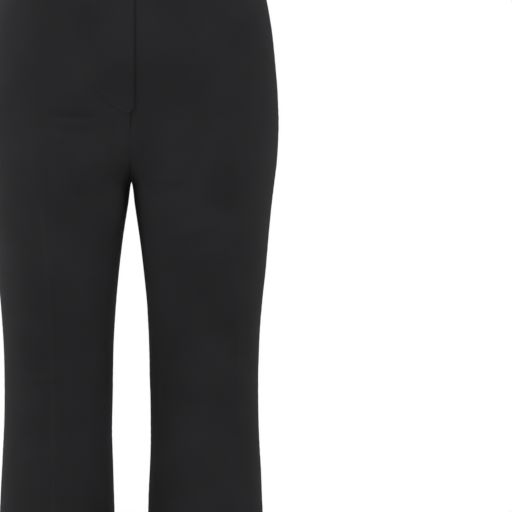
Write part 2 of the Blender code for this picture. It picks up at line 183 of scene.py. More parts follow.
Lamp = namedtuple("Lamp", "name place aim size power")
MIDDLE = (0.0, 0.0, -0.2)
HIP = (0.0, 0.0, -0.1)
LAMPS = (
    Lamp("left_rim", (-2.2, 0.5, 0.7), HIP, (0.8, 1.4), 12.5),
    Lamp("left_side", (-1.3, 0.35, 0.8), HIP, (0.6, 0.9), 10.4),
    Lamp("left_far", (-2.2, -1.2, 0.5), MIDDLE, (0.8, 1.4), 17.1),
    Lamp("left_near", (-1.4, -0.8, 0.7), HIP, (0.6, 0.9), 10.9),
    Lamp("right_near", (1.4, -0.8, 0.7), HIP, (0.6, 0.9), 8.2),
    Lamp("right_top", (1.0, -1.1, 1.3), HIP, (0.6, 0.8), 24.9),
)

# ---------- colours and finishes
SUITING_DARK = (0.0072, 0.0073, 0.0079)
SUITING_LIGHT = (0.0118, 0.0119, 0.0128)
SUITING_TWILL = 0.0009
SUITING_SPECULAR = 0.06
SUITING_SHEEN = 0.006
UNPRESSED_ROUGHNESS = 0.84
PRESSED_ROUGHNESS = 0.70
THREAD_SHARE = 0.45
TAPE_DARK = (0.0060, 0.0060, 0.0068)
TAPE_LIGHT = (0.0130, 0.0130, 0.0140)
TAPE_TWILL = 0.0007
THREAD_BLACK = (0.009, 0.009, 0.010)
RESIN = (0.012, 0.011, 0.012)
PLATE = (0.085, 0.085, 0.09)
COIL_BLACK = (0.014, 0.014, 0.015)
ROUGHNESS_SPREAD = 0.06

# ---------- form, creases and folds
# The garment's outline and depth, level by level. gap is half the space between the legs, and above the crotch it
# is negative: there the two leg forms run into each other, and they are cut off at the centre seam.
Level = namedtuple("Level", "z width gap front back side_y inseam_y")
LEVELS = (
    Level(0.000, 0.1545, -0.600, 0.1030, 0.1000, 0.006, 0.012),
    Level(-0.0375, 0.1652, -0.500, 0.1060, 0.1070, 0.007, 0.012),
    Level(-0.0838, 0.1742, -0.400, 0.1095, 0.1190, 0.008, 0.012),
    Level(-0.1290, 0.1794, -0.300, 0.1105, 0.1305, 0.010, 0.012),
    Level(-0.1740, 0.1830, -0.200, 0.1080, 0.1385, 0.012, 0.012),
    Level(-0.2090, 0.1841, -0.100, 0.1045, 0.1405, 0.013, 0.013),
    Level(-0.2340, 0.1832, -0.034, 0.1020, 0.1385, 0.014, 0.014),
    Level(-0.2580, 0.1815, -0.0095, 0.0995, 0.1340, 0.014, 0.014),
    Level(-0.2800, 0.1788, 0.0000, 0.0975, 0.1280, 0.014, 0.014),
    Level(-0.3080, 0.1754, 0.0045, 0.0955, 0.1195, 0.012, 0.013),
    Level(-0.3400, 0.1723, 0.0093, 0.0930, 0.1105, 0.010, 0.011),
    Level(-0.3840, 0.1685, 0.0147, 0.0885, 0.0990, 0.007, 0.008),
    Level(-0.4290, 0.1636, 0.0192, 0.0825, 0.0890, 0.004, 0.004),
    Level(-0.4800, 0.1598, 0.0222, 0.0755, 0.0785, 0.001, 0.001),
    Level(-0.5340, 0.1583, 0.0233, 0.0705, 0.0715, 0.000, 0.000),
    Level(-0.5900, 0.1592, 0.0243, 0.0690, 0.0715, 0.001, 0.001),
    Level(-0.6390, 0.1616, 0.0231, 0.0695, 0.0740, 0.002, 0.002),
    Level(-0.6940, 0.1641, 0.0212, 0.0705, 0.0775, 0.003, 0.003),
    Level(-0.8200, 0.1710, 0.0166, 0.0735, 0.0850, 0.006, 0.006),
    Level(-0.9500, 0.1788, 0.0118, 0.0765, 0.0915, 0.008, 0.008),
    Level(-1.0800, 0.1866, 0.0070, 0.0790, 0.0960, 0.009, 0.009),
)
TORSO_POWER = 2.35
LEG_POWER = 2.12
CREST_OUT = 0.002
CREST_EASE = 0.008
SEAT_HOLLOW = 0.006

# The torso's form gives way to the legs' from FADE_TOP down to FADE_END. In front it lasts longer than in the
# solids, most of all on the centre line, and the inner thigh is squarer, by a power that fades down to the back's,
# because the photograph shows the cloth flat right up to the crotch.
FADE_TOP = -0.165
FADE_END = {FRONT: -0.300, BACK: -0.272}
CENTRE_FADE_TOP = -0.246
CENTRE_FADE_END = CROTCH
CENTRE_HASTE = 0.55
INNER_POWER = {FRONT: 5.0, BACK: 2.0}
LOW_POWER = 2.0
INNER_FADE_TOP = -0.340
INNER_FADE_END = -0.520

# Where each pressed crease or fold line runs, measured outwards from the centre, and how far it stands out.
Crease = namedtuple("Crease", "z right left back right_height left_height back_height")
CREASES = (
    Crease(0.000, 0.092, 0.100, 0.080, 0.0000, 0.0000, 0.0000),
    Crease(-0.120, 0.101, 0.118, 0.086, 0.0000, 0.0004, 0.0000),
    Crease(-0.200, 0.107, 0.122, 0.089, 0.0005, 0.0008, 0.0000),
    Crease(-0.310, 0.1085, 0.1195, 0.092, 0.0026, 0.0014, 0.0016),
    Crease(-0.388, 0.1018, 0.1210, 0.093, 0.0030, 0.0016, 0.0024),
    Crease(-0.470, 0.0978, 0.1300, 0.091, 0.0024, 0.0018, 0.0024),
    Crease(-0.550, 0.0953, 0.1325, 0.090, 0.0020, 0.0018, 0.0020),
    Crease(-0.694, 0.0946, 0.1330, 0.092, 0.0024, 0.0018, 0.0024),
    Crease(-1.080, 0.0965, 0.1300, 0.097, 0.0026, 0.0018, 0.0026),
)

# How the creases are rounded: each edge has a rounding and a reach. Above CRISP_TOP they aren't pressed at all.
SOFT_CREASE = 14 * MM
SOFT_EDGE = (4.0 * MM, 16 * MM)
CRISP_EDGE = (0.6 * MM, 3 * MM)
CRISP_SLOPE = (2.0 * MM, 24 * MM)
CRISP_SHARE = 0.28
CRISP_TOP = -0.265
CRISP_FULL = -0.330
PRESS_WIDTH = 2.5 * MM

# The drape's soft ridges and troughs, in millimetres: each runs from x0, z0 to x1, z1, bowed sideways by bow in its
# middle. Width is how far its slope runs down the leg, and upper how far it runs up, where that differs.
Fold = namedtuple("Fold", "x0 z0 x1 z1 bow height width upper", defaults=[None])
FOLDS = {
    "front_right": (
        (100, -199, 40, -202, 2, -1.5, 4.5), (94, -206.5, 44, -208.5, 1, 0.9, 8, 3),
        (120, -226, 66, -238, -3, 0.5, 7), (90, -275, 13, -279, 2, 2.2, 20, 34),
        (88, -278.5, 20, -281.5, 2, 0.35, 2.2, 9), (92, -290, 24, -300, 4, -0.7, 8),
        (22, -196, 24, -284, -2, -1.0, 4), (9, -222, 8, -282, 1, 0.9, 4),
        (118, -318, 44, -372, 6, 0.6, 11), (30, -470, 33, -690, 7, -1.3, 5),
        (25, -500, 26, -720, 5, 0.6, 4), (146, -522, 78, -528, 2, 0.9, 5),
        (132, -566, 62, -549, -3, -0.4, 9), (60, -610, 128, -640, 4, 0.35, 10),
        (150, -700, 110, -905, -6, 0.6, 13), (48, -760, 66, -1010, 5, -0.6, 12),
    ),
    "front_left": (
        (88, -203, 44, -206, 2, -0.7, 5), (118, -232, 70, -240, -3, 0.4, 6),
        (84, -272, 14, -282, 4, 0.9, 6, 22), (80, -286, 20, -298, 3, -0.6, 7),
        (23, -200, 22, -282, -2, -0.7, 4), (38, -357, 114, -333, 3, 1.3, 6),
        (52, -372, 118, -350, 3, -0.7, 8), (28, -522, 31, -580, 2, -1.0, 6),
        (30, -470, 28, -640, 4, -0.6, 5), (140, -516, 70, -534, -3, 0.4, 8),
        (66, -560, 126, -548, 3, -0.35, 9), (152, -690, 118, -900, -7, 0.6, 14),
        (46, -740, 62, -1000, 6, -0.6, 12),
    ),
    "back_right": (
        (150, -292, 34, -322, -10, -1.6, 9), (140, -318, 40, -344, -9, 1.2, 9),
        (132, -350, 52, -374, -8, -1.0, 10), (60, -240, 20, -278, -4, -0.9, 7),
        (150, -520, 46, -544, 6, -1.3, 8), (142, -548, 54, -566, 5, 0.9, 8),
        (146, -580, 62, -590, -4, -0.8, 9), (120, -470, 60, -498, 4, 0.6, 10),
        (60, -700, 74, -980, 5, -0.7, 13), (140, -720, 126, -990, -6, 0.6, 14),
        (130, -120, 104, -176, 3, 0.4, 12),
    ),
    "back_left": (
        (148, -297, 30, -318, -9, -1.4, 9), (138, -322, 44, -349, -10, 1.1, 9),
        (126, -356, 58, -371, -7, -0.9, 10), (56, -244, 18, -280, -4, -0.8, 7),
        (146, -514, 42, -538, 7, -1.2, 8), (140, -542, 60, -562, 5, 1.0, 8),
        (148, -573, 70, -592, -4, -0.7, 9), (114, -462, 66, -492, 4, 0.5, 10),
        (62, -716, 70, -1000, 4, -0.6, 13), (138, -730, 128, -1000, -5, 0.7, 14),
        (126, -128, 100, -170, 3, 0.4, 12),
    ),
}

FOLD_ENDS = 0.8

# Slow unevenness: how many waves, and the least and most of their length across and down and of their height, which
# is a share of the panel's swell.
SWELL = {FRONT: 0.6 * MM, BACK: 1.0 * MM}
SWELL_WAVES = 9
SWELL_ACROSS = (0.06, 0.16)
SWELL_DOWN = (0.07, 0.22)
SWELL_HEIGHT = (0.04, 0.10)
CALM_BY_LAP = (0.010, 0.050)

# Small relief along a line: how far it stands out, and how wide it is.
Ridge = namedtuple("Ridge", "rise width")
SEAM_GROOVE = Ridge(-0.50 * MM, 1.1 * MM)
TURNING_STEP = 0.18 * MM
TURNING_START = (0.8 * MM, 3.5 * MM)
TURNING_STOP = (9.5 * MM, 11.5 * MM)
PUCKER = Ridge(0.12 * MM, 4 * MM)
PUCKER_OFF = 3 * MM
PUCKER_RUNS = (0.0115, 0.047, 0.083)
PUCKER_SHIFT = 1.3
PUCKER_LEAST = 0.6
SIDE_SEED = 31
CENTRE_SEED = 47
BAND_SEAM_GROOVE = Ridge(-0.35 * MM, 2.0 * MM)
BAND_END_ROLL = Ridge(-0.5 * MM, 1.0 * MM)
BAND_BACK_GROOVE = Ridge(-0.7 * MM, 1.6 * MM)
HEM_ROLL = Ridge(-0.5 * MM, 1.6 * MM)
HEM_LINE = Ridge(-0.16 * MM, 1.8 * MM)
HEM_DIMPLE = Ridge(-0.25 * MM, 0.8 * MM)
HEM_DIMPLE_DROP = 2 * MM
HEM_PRICK = 0.008
HEM_PRICK_WIDTH = 0.7 * MM

# The shield hangs a little slack, with a rolled edge and a line of stitching beside it. Its ridges are depths.
SHIELD_SLACK = 0.12 * MM
SHIELD_SLACK_RUN = 0.017
SHIELD_ROLL = Ridge(0.30 * MM, 0.5 * MM)
SHIELD_STITCHING = Ridge(0.15 * MM, 0.6 * MM)
SHIELD_STITCHING_OFF = 6 * MM

# Each back panel has one dart, with its pressed fold beside it.
DART_X = 0.074
DART_LEAN = 0.006
DART_LENGTH = 0.095
DART_GROOVE = Ridge(-0.5 * MM, 1.0 * MM)
DART_FOLD = 0.2 * MM
DART_FOLD_OFF = 4 * MM
DART_FOLD_EDGE = (2 * MM, 4 * MM)
DART_TAPER = 0.6

# The curve of stitching that holds the fly: straight down, then round to the lap's lower end.
J_X = 0.043
J_TURN = -0.150
J_END = -0.1945
J_END_X = -0.002
J_POWER = 1.55
STITCH = 0.0024
STITCH_SPACE = 0.0004
STITCH_BED = 0.14 * MM
STITCH_RISE = 0.20 * MM
THREAD = 0.00022

# The lap round that line: a groove at the stitches, shallower above FLY_SHOWN_FROM, a ridge outside their curve, the
# step of the facing inside it, and the lap's own edge. The front under it has a trough in the lap's shadow.
FLY_GROOVE = Ridge(-0.42 * MM, 0.9 * MM)
FLY_SHOWN_LEAST = 0.35
FLY_SHOWN_FROM = (-0.115, -0.150)
FLY_RIDGE = Ridge(1.25 * MM, 2.1 * MM)
FLY_RIDGE_OFF = 2.2 * MM
FLY_RIDGE_FROM = (-0.150, -0.168)
FACING_STEP = 0.30 * MM
FACING_EDGE = (-1.2 * MM, 1.6 * MM)
LAP_RIDGE = Ridge(0.25 * MM, 1.4 * MM)
LAP_RIDGE_OFF = 3.4 * MM
LAP_ROLL = Ridge(-0.50 * MM, 1.5 * MM)
LAP_SHADOW = Ridge(-0.9 * MM, 6.0 * MM)
LAP_SHADOW_X = LAP_WIDTH - 1.0 * MM

# ---------- how finely the cloth is divided
INNER_COLUMNS = {FRONT: 84, BACK: 56}
OUTER_COLUMNS = 42
UPPER_ROWS = {FRONT: 150, BACK: 92}
FLY_CLOSER = 1.8
LEG_ROWS = 168
HEM_ROWS = 14
BAND_ROWS = 16
BAND_COLUMNS = {FRONT: 110, BACK: 80}
STRIP_ROWS = 110
SHIELD_COLUMNS = 36
TAPE_COLUMNS = 40
DENSE = 120
CLOSER_ENDS = 0.6
SHARP = math.radians(55)

# Below the crotch a panel runs on round the inner thigh. The columns near its inner edge take up this extra cloth, so
# that the others run straight on down.
THIGH_RUN = 0.100
THIGH_COLUMNS = 0.35


# ---------- helpers
def read(table, name, z):
    """Read one column of a table at any height, on a smooth curve through its rows."""
    rows = sorted(table, key=lambda row: row.z)
    heights = np.array([row.z for row in rows])
    values = np.array([getattr(row, name) for row in rows])
    slopes = np.gradient(values, heights)
    z = np.clip(np.asarray(z, float), heights[0], heights[-1])
    low = np.clip(np.searchsorted(heights, z) - 1, 0, len(heights) - 2)
    step = heights[low + 1] - heights[low]
    t = (z - heights[low]) / step
    rise = values[low] * (1 + 2 * t) * (1 - t) ** 2 + values[low + 1] * t * t * (3 - 2 * t)
    return rise + step * t * (1 - t) * (slopes[low] * (1 - t) - slopes[low + 1] * t)


def ramp(value, start, end):
    """Rise smoothly from 0 at start to 1 at end."""
    t = np.clip((np.asarray(value, float) - start) / (end - start), 0.0, 1.0)
    return t * t * (3 - 2 * t)


def bell(distance, width):
    """Fall from 1 on a line to almost nothing at twice the width from it."""
    return np.exp(-((distance / width) ** 2))


def ridge(shape, distance):
    """The height of a Ridge at a distance from its line."""
    return shape.rise * bell(distance, shape.width)


# ---------- the worn form
def crest_x(z):
    """The leg's foremost line, at the middle of the leg below the crotch."""
    width = read(LEVELS, "width", z)
    gap = read(LEVELS, "gap", z)
    gap = (gap + np.sqrt(gap**2 + CREST_EASE**2)) / 2
    return (width + gap) / 2 + CREST_OUT


def inner_power(face, z):
    """How square the inner stretch of the form is: most so at the top of the thigh, in front."""
    return LOW_POWER + (INNER_POWER[face] - LOW_POWER) * ramp(z, INNER_FADE_END, INNER_FADE_TOP)


def form_point(face, turn, z):
    """A point of one half's form. turn runs from -1 at the inseam, by 0 at the leg's crest, to 1 at the side."""
    width = read(LEVELS, "width", z)
    gap = read(LEVELS, "gap", z)
    depth = read(LEVELS, "front" if face == FRONT else "back", z)
    side_y = read(LEVELS, "side_y", z)
    inseam_y = read(LEVELS, "inseam_y", z)
    crest = crest_x(z)
    inner = turn < 0
    angle = np.abs(turn) * math.pi / 2
    power = inner_power(face, z)
    swell = (np.abs(np.sin(angle)) ** power + np.abs(np.cos(angle)) ** power) ** (-1 / power)
    evenness = 2 / LEG_POWER
    reach = np.where(inner, np.sin(angle) * swell, np.sin(angle) ** evenness)
    fall = np.where(inner, np.cos(angle) * swell, np.clip(np.cos(angle), 0, 1) ** evenness)
    x = np.where(inner, crest - (crest - gap) * reach, crest + (width - crest) * reach)
    base_y = np.where(inner, inseam_y, side_y)
    leg_y = base_y + (face * depth - base_y) * fall
    torso_depth = depth - (SEAT_HOLLOW if face == BACK else 0.0)
    across = np.clip(np.abs(x) / width, 0, 1)
    torso_y = side_y + (face * torso_depth - side_y) * (1 - across**TORSO_POWER) ** (1 / TORSO_POWER)
    centre = np.where(inner & (face == FRONT), reach**2, 0.0)
    fade_top = FADE_TOP + (CENTRE_FADE_TOP - FADE_TOP) * centre
    fade_end = FADE_END[face] + (CENTRE_FADE_END - FADE_END[face]) * centre
    torso = ramp(z, fade_end, fade_top) ** (1 - CENTRE_HASTE * centre**2)
    return np.stack([x, torso * torso_y + (1 - torso) * leg_y, z + 0 * x], axis=-1)


def turn_at_x(face, x, z):
    """The turn, from -1 to 0, at which the inner stretch of the form reaches x."""
    crest = crest_x(z)
    gap = read(LEVELS, "gap", z)
    reach = np.clip((crest - x) / (crest - gap), 0.0, 1.0)
    power = inner_power(face, z)
    return -np.arctan2(reach, (1 - reach**power) ** (1 / power)) * 2 / math.pi


def form_normal(face, turn, z):
    """The form's outward direction, from small steps round it and up it."""
    step = 1e-4
    along = form_point(face, np.minimum(turn + step, 1.0), z) - form_point(face, turn - step, z)
    up = form_point(face, turn, z + step) - form_point(face, turn, z - step)
    normal = np.cross(along, up) * -face
    return normal / np.linalg.norm(normal, axis=-1, keepdims=True)


def run_length(path):
    """Lengths along a path of points, or along each row of a stack of them, from 0."""
    steps = np.linalg.norm(np.diff(path, axis=-2), axis=-1)
    return np.concatenate([np.zeros_like(steps[..., :1]), np.cumsum(steps, axis=-1)], axis=-1)


def crease_column(face, side):
    """The column of CREASES that a panel follows."""
    if face == BACK:
        return "back"
    return "right" if side == RIGHT else "left"


def centre_start(face, side, z):
    """Where a panel's centre edge lies: on the centre line, but past it or short of it along the fly."""
    if face == BACK:
        return np.zeros_like(z)
    reach = ramp(z, FLY_END - LAP_END_RUN, FLY_END)
    return reach * (-LAP_WIDTH if side == RIGHT else UNDER_EDGE)


# ---------- relief of the cloth
def fly_curve():
    """The J-shaped line of stitching, from the waistband seam down and round to the lap's lower end."""
    down = np.linspace(STACK_TOP, J_TURN, 40)
    straight = np.stack([np.full(40, J_X), down], axis=-1)
    turn = np.linspace(0, math.pi / 2, 50)[1:]
    round_x = J_END_X + (J_X - J_END_X) * np.cos(turn) ** (2 / J_POWER)
    round_z = J_TURN + (J_END - J_TURN) * np.sin(turn) ** (2 / J_POWER)
    return np.concatenate([straight, np.stack([round_x, round_z], axis=-1)])


def inside_fly(x, z):
    """Distance in from the J-shaped line towards the lap, negative outside it."""
    curve = fly_curve()
    offset = np.stack([x, z], axis=-1)[..., None, :] - curve
    distance = np.sqrt((offset**2).sum(axis=-1)).min(axis=-1)
    low = np.clip((J_TURN - z) / (J_TURN - J_END), 0, 1)
    edge = J_END_X + (J_X - J_END_X) * np.clip(1 - low**J_POWER, 0, 1) ** (1 / J_POWER)
    inside = (x < edge) & (z > J_END)
    return np.where(inside, distance, -distance)


def fold_relief(name, x, z):
    """Ridges and troughs of the drape, each with soft ends."""
    total = np.zeros_like(x)
    for fold in (Fold(*row) for row in FOLDS[name]):
        start = np.array([fold.x0, fold.z0]) * MM
        way = np.array([fold.x1, fold.z1]) * MM - start
        length = np.linalg.norm(way)
        way = way / length
        along = ((x - start[0]) * way[0] + (z - start[1]) * way[1]) / length
        apart = (x - start[0]) * -way[1] + (z - start[1]) * way[0]
        inside = np.clip(along, 0, 1)
        past = (along - inside) * length
        apart = apart - fold.bow * MM * 4 * inside * (1 - inside)
        above = apart * way[0] > 0
        width = np.where(above, fold.upper or fold.width, fold.width) * MM
        ends = np.sin(math.pi * inside) ** FOLD_ENDS
        total += fold.height * MM * ends * bell(apart, width) * bell(past, fold.width * MM)
    return total


def swell_relief(name, face, from_fold, z):
    """Slow unevenness of worn cloth, laid out from the fold line, where the cloth runs on past the crotch."""
    draw = np.random.default_rng(sorted(FOLDS).index(name))
    total = np.zeros_like(z)
    for _ in range(SWELL_WAVES):
        wave_x = draw.uniform(*SWELL_ACROSS) * draw.choice([-1, 1])
        wave_z = draw.uniform(*SWELL_DOWN)
        phase = draw.uniform(0, 2 * math.pi)
        height = draw.uniform(*SWELL_HEIGHT) * SWELL[face]
        total += height * np.sin(2 * math.pi * (from_fold / wave_x + z / wave_z) + phase)
    return total


def seam_relief(distance):
    """A pressed-open seam: a fine groove, with the turned-in edges showing as a faint step beside it."""
    step = ramp(distance, *TURNING_START) * (1 - ramp(distance, *TURNING_STOP))
    return ridge(SEAM_GROOVE, distance) + TURNING_STEP * step


def pucker(length, seed):
    """Uneven little waves along a sewn seam."""
    draw = np.random.default_rng(seed)
    phases = draw.uniform(0, 2 * math.pi, len(PUCKER_RUNS))
    short, middle, long = (2 * math.pi * length / run + phase for run, phase in zip(PUCKER_RUNS, phases))
    wave = np.sin(short + PUCKER_SHIFT * np.sin(middle))
    return wave * (PUCKER_LEAST + (1 - PUCKER_LEAST) * np.sin(long))


def edge_of(distance, rounding, reach):
    """A ridge with a rounded top and slopes that die away over its reach."""
    return np.exp(-(np.sqrt(distance**2 + rounding**2) - rounding) / reach)


def pressed_edge(name, distance):
    """The crease's section: crisp, but on the wearer's left front only a soft fold is left of it."""
    if name == "front_left":
        return edge_of(distance, *SOFT_EDGE)
    return CRISP_SHARE * edge_of(distance, *CRISP_EDGE) + (1 - CRISP_SHARE) * edge_of(distance, *CRISP_SLOPE)


def crisp_share(z):
    """How sharply the crease is pressed, which is not at all at the hip."""
    return ramp(z, CRISP_TOP, CRISP_FULL)


def lap_relief(side, x, z, across, fly):
    """How far the lap stands out, or the front under it sinks."""
    tall = ramp(z, FLY_END - FLY_FADE, FLY_END - LAP_END_RUN)
    near = 1 - ramp(np.abs(x), FLY_WIDTH / 2, FLY_WIDTH)
    if side == LEFT:
        return (ridge(LAP_SHADOW, x - LAP_SHADOW_X) - UNDER_SINK * near) * tall
    inside = inside_fly(x, z)
    shown = FLY_SHOWN_LEAST + (1 - FLY_SHOWN_LEAST) * ramp(z, *FLY_SHOWN_FROM)
    sewn = FACING_STEP * ramp(inside, *FACING_EDGE) + ridge(FLY_GROOVE, inside) * shown
    sewn += ridge(FLY_RIDGE, inside + FLY_RIDGE_OFF) * ramp(z, *FLY_RIDGE_FROM)
    edge = ridge(LAP_RIDGE, across - LAP_RIDGE_OFF) + ridge(LAP_ROLL, across)
    return LAP_LIFT * tall * near + sewn + edge * fly


def dart_relief(x, z):
    """A back dart: a stitched groove that tapers out, with its pressed fold beside it."""
    down = np.clip((WAISTBAND_SEAM - z) / DART_LENGTH, 0, 1)
    distance = x - DART_X - DART_LEAN * down
    fold = DART_FOLD * edge_of(distance - DART_FOLD_OFF, *DART_FOLD_EDGE)
    return (1 - down) ** DART_TAPER * (fold + ridge(DART_GROOVE, distance))


def hem_relief(across, from_hem):
    """The hem's rolled edge, and the line of small dimples where its turn-up is pricked through."""
    prick = bell((across % HEM_PRICK) - HEM_PRICK / 2, HEM_PRICK_WIDTH)
    from_line = from_hem - HEM_ALLOWANCE
    dimples = prick * ridge(HEM_DIMPLE, from_line + HEM_DIMPLE_DROP)
    return ridge(HEM_ROLL, from_hem) + ridge(HEM_LINE, from_line) + dimples


def panel_relief(name, face, side, x, z, across, to_side, from_fold, from_hem):
    """How far the cloth of a panel stands out from the form."""
    height = read(CREASES, crease_column(face, side) + "_height", z)
    soft = bell(from_fold, SOFT_CREASE)
    total = height * (soft + crisp_share(z) * (pressed_edge(name, from_fold) - soft))
    fly = ramp(z, FLY_END - LAP_END_RUN, FLY_END) if face == FRONT else np.zeros_like(z)
    calm = 1 - (1 - ramp(across, *CALM_BY_LAP)) * fly
    total += (fold_relief(name, x, z) + swell_relief(name, face, from_fold, z)) * calm
    total += seam_relief(to_side) + seam_relief(across) * (1 - fly)
    total += pucker(z, SIDE_SEED) * ridge(PUCKER, to_side - PUCKER_OFF)
    total += pucker(z, CENTRE_SEED) * ridge(PUCKER, across - PUCKER_OFF) * (1 - fly)
    total += ridge(BAND_SEAM_GROOVE, WAISTBAND_SEAM - z) + hem_relief(across, from_hem)
    return total + (lap_relief(side, x, z, across, fly) if face == FRONT else dart_relief(x, z))


def hem_shift(face, share, z):
    """The hem's slant, higher over the foot and lower behind the heel."""
    shift = HEM_RISE_FRONT if face == FRONT else -HEM_DROP_BACK
    return shift * np.sin(share * math.pi) * ramp(z, KNEE, HEM)


# ---------- panels
def spread(count):
    """Steps from 0 to 1, closer together at both ends."""
    t = np.linspace(0, 1, count + 1)
    return t - CLOSER_ENDS * np.sin(2 * math.pi * t) / (2 * math.pi)


def row_heights(face, side):
    """How high a panel's rows lie at its centre edge and at its side: closer together near the fly's curve."""
    top = WAISTBAND_SEAM + SEAM_LAP
    dense = np.linspace(top, CROTCH, 4 * DENSE)
    line = form_point(face, turn_at_x(face, centre_start(face, side, dense), dense), dense)
    closer = 1 + FLY_CLOSER * bell(dense - J_END, FLY_WIDTH) * (face == FRONT)
    steps = np.stack([run_length(line), dense[0] - dense], axis=0)
    steps = np.cumsum(np.diff(steps, axis=1, prepend=0.0) * closer, axis=1)
    share = np.linspace(0, 1, UPPER_ROWS[face] + 1)
    centre, outer = (np.interp(share * length[-1], length, dense) for length in steps)
    legs = np.linspace(CROTCH, HEM + HEM_ALLOWANCE, LEG_ROWS + 1)[1:]
    hem = np.linspace(HEM + HEM_ALLOWANCE, HEM, HEM_ROWS + 1)[1:]
    return np.concatenate([centre, legs, hem]), np.concatenate([outer, legs, hem])


def inner_places(fold, z):
    """Where the columns between a panel's inner edge and its fold line lie across the cloth."""
    even = spread(len(fold) - 1)
    near_edge = np.clip(1 - np.linspace(0, 1, len(fold)) / THIGH_COLUMNS, 0, 1)
    run = np.minimum(fold, THIGH_RUN)
    straight = fold - run * (1 - even) - (fold - run) * near_edge
    return straight + (fold * even - straight) * ramp(z, CROTCH, KNEE)


def panel_row(name, face, side, centre_z, side_z):
    """One row of a panel: its points, outward directions and its places across the cloth."""
    inner_columns = INNER_COLUMNS[face]
    share = np.concatenate([0.5 * spread(inner_columns), 0.5 + 0.5 * spread(OUTER_COLUMNS)[1:]])
    level = centre_z + (side_z - centre_z) * ramp(share, 0, 1)
    z = level + hem_shift(face, share, level)
    fold_x = read(CREASES, crease_column(face, side), z)
    first = turn_at_x(face, centre_start(face, side, z), z)[:, None]
    path_turn = first + (1 - first) * np.linspace(0, 1, DENSE)
    path = form_point(face, path_turn, z[:, None])
    length = run_length(path)
    end = length[:, -1]
    fold = np.array([np.interp(x, p[:, 0], l) for x, p, l in zip(fold_x, path, length)])
    inner = inner_places(fold[: inner_columns + 1], z[: inner_columns + 1])
    outer = fold[inner_columns:] + (end - fold)[inner_columns:] * spread(OUTER_COLUMNS)
    across = np.concatenate([inner, outer[1:]])
    turn = np.array([np.interp(a, l, t) for a, l, t in zip(across, length, path_turn)])
    point = form_point(face, turn, z)
    normal = form_normal(face, turn, z)
    spot = (point[:, 0], z, across, end - across, across - fold, level - HEM)
    relief = panel_relief(name, face, side, *spot)
    worked = point + normal * relief[:, None]
    above = ramp(z, CROTCH - SEAM_KEEP, CROTCH)
    keep = above * (1 - ramp(across, 0.0, SEAM_KEEP))
    worked[:, 0] += (point[:, 0] - worked[:, 0]) * keep
    return worked, normal, across, end - across, across - fold


def panel_cloth(name, face, side):
    """A leg panel's shell: its outside, its inside with turnings and hem, and its places on the flat cloth."""
    rows = [panel_row(name, face, side, c, s) for c, s in zip(*row_heights(face, side))]
    point, normal, across, to_side, from_fold = (np.array(part) for part in zip(*rows))
    hem_edge = point[..., 2] < HEM + HEM_ALLOWANCE
    turning = 1 - ramp(np.minimum(across, to_side), *TURNING)
    thick = CLOTH + TURNING_CLOTH * turning + HEM_CLOTH * hem_edge
    if face == FRONT:
        fly = ramp(point[..., 2], FLY_END - FLY_FADE, FLY_END) * (1 - ramp(across, *FLY_CLOTH))
        folded = (1 - ramp(across, *LAP_FOLD)) * (side == RIGHT)
        thick = np.where(fly > 0.01, CLOTH + FOLDED_CLOTH * folded, thick)
    inner = point - normal * thick[..., None]
    for grid in (point, inner):
        grid[..., 0] = (grid[..., 0] - SEAM_LAP / 2) * side
    crisp = crisp_share(point[..., 2]) * (0.0 if name == "front_left" else 1.0)
    press = bell(from_fold, PRESS_WIDTH) * crisp
    return point, inner, from_fold * side, point[..., 2], press


def add_object(name, data):
    """Put a mesh, a light or the camera into the scene."""
    thing = bpy.data.objects.new(name, data)
    bpy.context.scene.collection.objects.link(thing)
    return thing


def shell_object(name, outer, inner, flat_u, flat_v, press):
    """Close an outside and an inside grid of points into one thin shell, with its flat places as UVs."""
    rows, columns = outer.shape[:2]
    count = rows * columns
    index = np.arange(count).reshape(rows, columns)
    quads = np.stack([index[:-1, :-1], index[1:, :-1], index[1:, 1:], index[:-1, 1:]], axis=-1).reshape(-1, 4)
    edge = np.concatenate([index[0], index[1:, -1], index[-1, -2::-1], index[-2:0:-1, 0]])
    after = np.roll(edge, -1)
    rim = np.stack([edge, after, after + count, edge + count], axis=-1)
    faces = np.concatenate([quads, quads[:, ::-1] + count, rim])
    mesh = bpy.data.meshes.new(name)
    points = np.concatenate([outer.reshape(-1, 3), inner.reshape(-1, 3)])
    mesh.from_pydata(points.tolist(), [], faces.tolist())
    fix = bmesh.new()
    fix.from_mesh(mesh)
    bmesh.ops.recalc_face_normals(fix, faces=fix.faces)
    fix.to_mesh(mesh)
    fix.free()
    corner = np.empty(len(mesh.loops), dtype=np.int32)
    mesh.loops.foreach_get("vertex_index", corner)
    places = np.stack([np.tile(flat_u.ravel(), 2), np.tile(flat_v.ravel(), 2)], axis=-1)
    layer = mesh.uv_layers.new(name="flat")
    layer.data.foreach_set("uv", places[corner].astype(np.float32).ravel())
    worn = mesh.attributes.new("press", "FLOAT", "POINT")
    worn.data.foreach_set("value", np.tile(press.ravel(), 2).astype(np.float32))
    mesh.shade_smooth()
    mesh.set_sharp_from_angle(angle=SHARP)
    return add_object(name, mesh)


# ---------- waistband
def band_offset(side, x):
    """How far the waistband stands out: the right end laps over the left one, which sinks under it."""
    if side == RIGHT:
        return BAND_PROUD + BAND_LIFT * (1 - ramp(x, UNDERLAP + LAP_WIDTH / 2, 2 * UNDERLAP))
    return BAND_PROUD - BAND_SINK * (1 - ramp(x, 2 * LAP_WIDTH, UNDERLAP + LAP_WIDTH))


